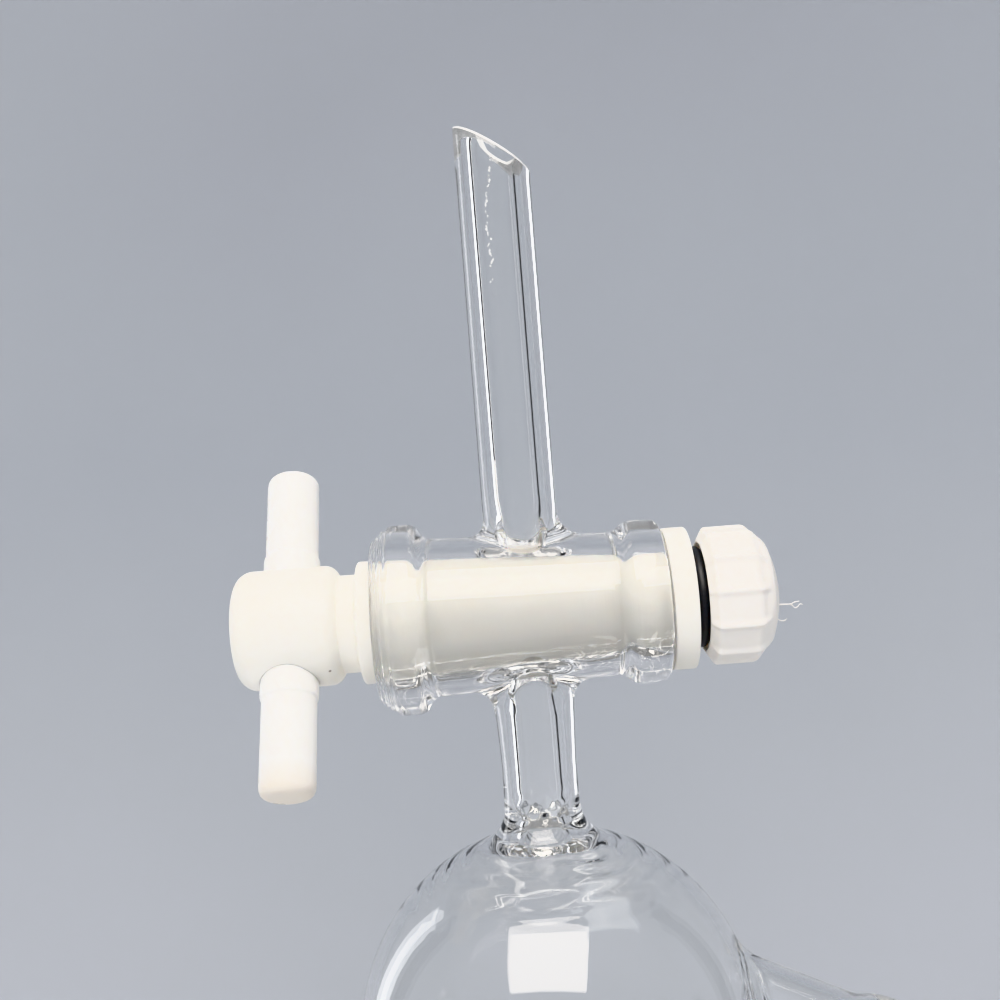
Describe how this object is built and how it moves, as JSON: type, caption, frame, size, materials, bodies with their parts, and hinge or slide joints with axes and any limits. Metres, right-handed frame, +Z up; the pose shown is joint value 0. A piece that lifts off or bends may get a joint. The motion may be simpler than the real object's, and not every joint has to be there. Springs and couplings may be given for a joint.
{
  "type": "separatory funnel",
  "caption": "Glass separatory funnel: round bulb, long slant-cut drain stem, white PTFE stopcock with a cross-bar handle and fluted nut, stoppered top and slanting side necks.",
  "frame": {"origin": "centre of the 50 mm support ring's circle of contact under the globe, on the stem's axis", "axes": "+Z up along the stem's axis with the funnel upright, as it is used; +X along the stopcock's axis towards its handle; the side neck slants up towards -X"},
  "size_m": [0.1326, 0.064, 0.2294],
  "materials": {
    "clear_glass": "clear borosilicate, fire polished",
    "ground_glass": "clear with a ground cone",
    "ptfe": "turned PTFE, waxy satin",
    "handle_plastic": "moulded white polypropylene, satin",
    "nut_plastic": "moulded white polypropylene, satin",
    "black_rubber": "satin"
  },
  "bodies": {
    "glass_body": {"stem": "clear_glass", "stopcock_barrel": "clear_glass", "drain_neck": "clear_glass", "globe_bowl": "clear_glass", "globe_belt": "clear_glass", "globe_crown": "clear_glass", "top_neck": "clear_glass", "side_neck": "clear_glass"},
    "plug": {"stopcock_plug": "ptfe", "handle_bar": "handle_plastic", "washer": "ptfe"},
    "seal": {"o_ring": "black_rubber"},
    "nut": {"nut": "nut_plastic"},
    "top_stopper": {"top_stopper": "ground_glass"},
    "side_stopper": {"side_stopper": "ground_glass"}
  },
  "joints": [
    {"name": "stopcock_turn", "type": "hinge", "parent": "glass_body", "child": "plug", "pos_m": [0, 0, -0.04752], "axis": [1, 0, 0], "continuous": true},
    {"name": "seal_slide", "type": "slide", "parent": "plug", "child": "seal", "axis": [-1, 0, 0], "range_m": [0, 0.0045]},
    {"name": "nut_unscrew", "type": "hinge", "parent": "seal", "child": "nut", "pos_m": [-0.03, 0, -0.04752], "axis": [-1, 0, 0], "range_deg": [0, 1080]},
    {"name": "top_stopper_lift", "type": "slide", "parent": "glass_body", "child": "top_stopper", "axis": [0, 0, 1], "range_m": [0, 0.05]},
    {"name": "side_stopper_pull", "type": "slide", "parent": "glass_body", "child": "side_stopper", "axis": [-0.9026, 0, 0.4305], "range_m": [0, 0.045]}
  ],
  "couplings": [
    {"joint": "seal_slide", "follows": "nut_unscrew", "m_per_rad": 0.00023873}
  ]
}
